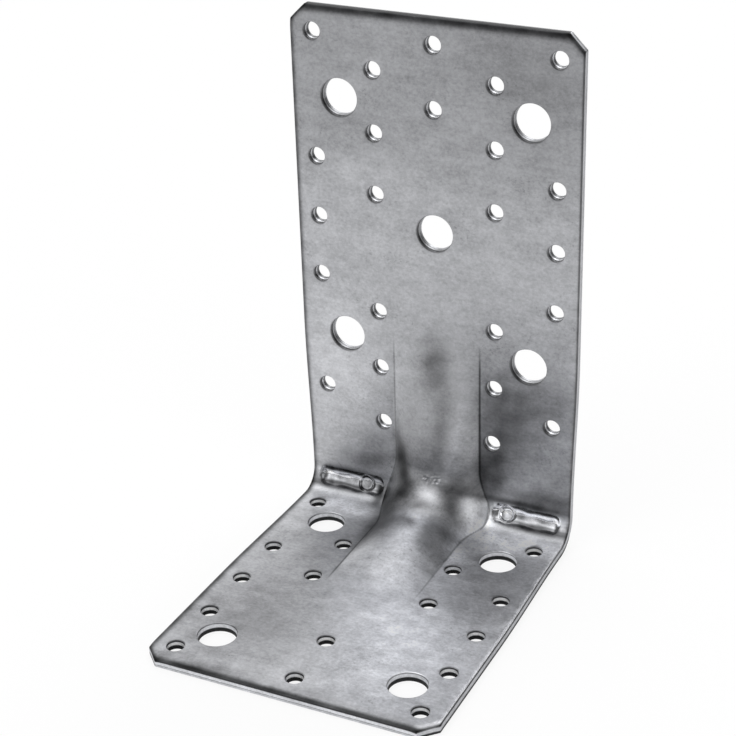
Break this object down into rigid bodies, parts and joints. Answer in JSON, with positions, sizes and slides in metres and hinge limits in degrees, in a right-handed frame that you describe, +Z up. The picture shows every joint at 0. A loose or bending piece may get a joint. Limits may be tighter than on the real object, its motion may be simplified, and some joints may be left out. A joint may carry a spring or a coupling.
{
  "type": "angle bracket",
  "caption": "Heavy steel angle bracket with a pressed rib across its bend, punched with nail and bolt holes in both legs, for joining timber members at a right angle.",
  "frame": {"origin": "the heel at mid-width: the line where the planes of the two outer faces meet", "axes": "+Z up along the upright leg, -Y along the base leg away from the upright, +X across the width to the right when facing the inside of the angle"},
  "size_m": [0.095, 0.113, 0.17],
  "materials": {
    "galvanised_steel": "hot-dip galvanised, dull grey with faint spangle and fine scuffs"
  },
  "bodies": {
    "root": {"angle_bracket": "galvanised_steel"}
  },
  "joints": []
}
